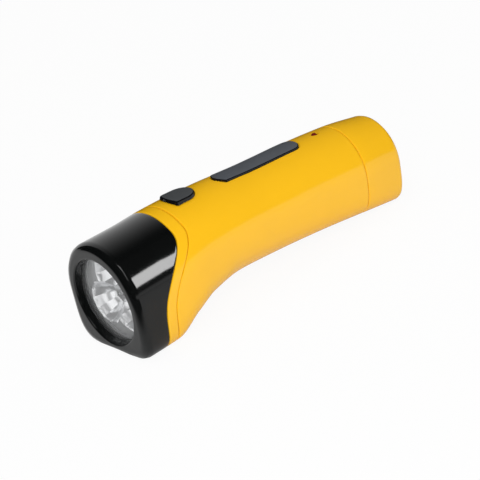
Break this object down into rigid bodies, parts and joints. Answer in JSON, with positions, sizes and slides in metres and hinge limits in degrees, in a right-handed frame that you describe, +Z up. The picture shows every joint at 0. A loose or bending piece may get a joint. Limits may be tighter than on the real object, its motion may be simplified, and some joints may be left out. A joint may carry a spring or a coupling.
{
  "type": "rechargeable hand torch",
  "caption": "Rechargeable hand torch with a black lamp head, bent yellow handle, slide switch and a pull-off tail cap over a mains plug.",
  "frame": {"origin": "on the table the torch lies on, under the middle of its length and width", "axes": "+X the way the beam points, +Y the torch's left side, +Z up"},
  "size_m": [0.1562, 0.0504, 0.0514],
  "materials": {
    "yellow_plastic": "moulded, semi gloss",
    "black_gloss": "moulded, high gloss",
    "black_plastic": "moulded, satin",
    "clear_plastic": "clear, polished",
    "mirror_coat": "vacuum coated",
    "red_lamp": "tinted, polished",
    "circuit_board": "lacquered",
    "soft_rubber": "soft",
    "foam": "soft foam",
    "battery_case": "moulded",
    "bare_metal": "plated",
    "brass": "plated",
    "capacitor_film": "dipped",
    "resistor_body": "coated",
    "red_wire": "insulation",
    "black_wire": "insulation"
  },
  "bodies": {
    "housing": {"head_collar": "yellow_plastic", "body_shell": "yellow_plastic", "bezel": "black_gloss", "label_strip": "black_plastic", "plug_base": "black_plastic", "rectifier_diode_1": "black_plastic", "rectifier_diode_2": "black_plastic", "rectifier_diode_3": "black_plastic", "rectifier_diode_4": "black_plastic", "lens": "clear_plastic", "led_1": "clear_plastic", "led_2": "clear_plastic", "led_3": "clear_plastic", "reflector": "mirror_coat", "charge_lamp": "red_lamp", "led_board": "circuit_board", "switch_board": "circuit_board", "charge_board": "circuit_board", "lens_gasket": "soft_rubber", "battery_pad_top": "foam", "battery_pad_bottom": "foam", "battery": "battery_case", "slide_switch": "bare_metal", "switch_screw_left": "bare_metal", "switch_screw_right": "bare_metal", "plug_screw_left": "bare_metal", "plug_screw_right": "bare_metal", "battery_tab_plus": "brass", "battery_tab_minus": "brass", "plug_pin_left": "brass", "plug_pin_right": "brass", "dropper_capacitor": "capacitor_film", "led_resistor_1": "resistor_body", "led_resistor_2": "resistor_body", "led_resistor_3": "resistor_body", "bleed_resistor": "resistor_body", "lamp_wire_plus": "red_wire", "switch_wire": "red_wire", "charge_wire_plus": "red_wire", "lamp_wire_minus": "black_wire", "charge_wire_minus": "black_wire"},
    "switch": {"switch_knob": "black_plastic", "switch_retainer": "black_plastic", "switch_actuator": "black_plastic"},
    "tail_cap_body": {"tail_cap": "yellow_plastic"}
  },
  "joints": [
    {"name": "switch_slide", "type": "slide", "parent": "housing", "child": "switch", "axis": [0.9986, 0, 0.0534], "range_m": [0, 0.004]},
    {"name": "tail_cap_pull", "type": "slide", "parent": "housing", "child": "tail_cap_body", "axis": [-0.9945, 0, -0.1052], "range_m": [0, 0.02]}
  ]
}
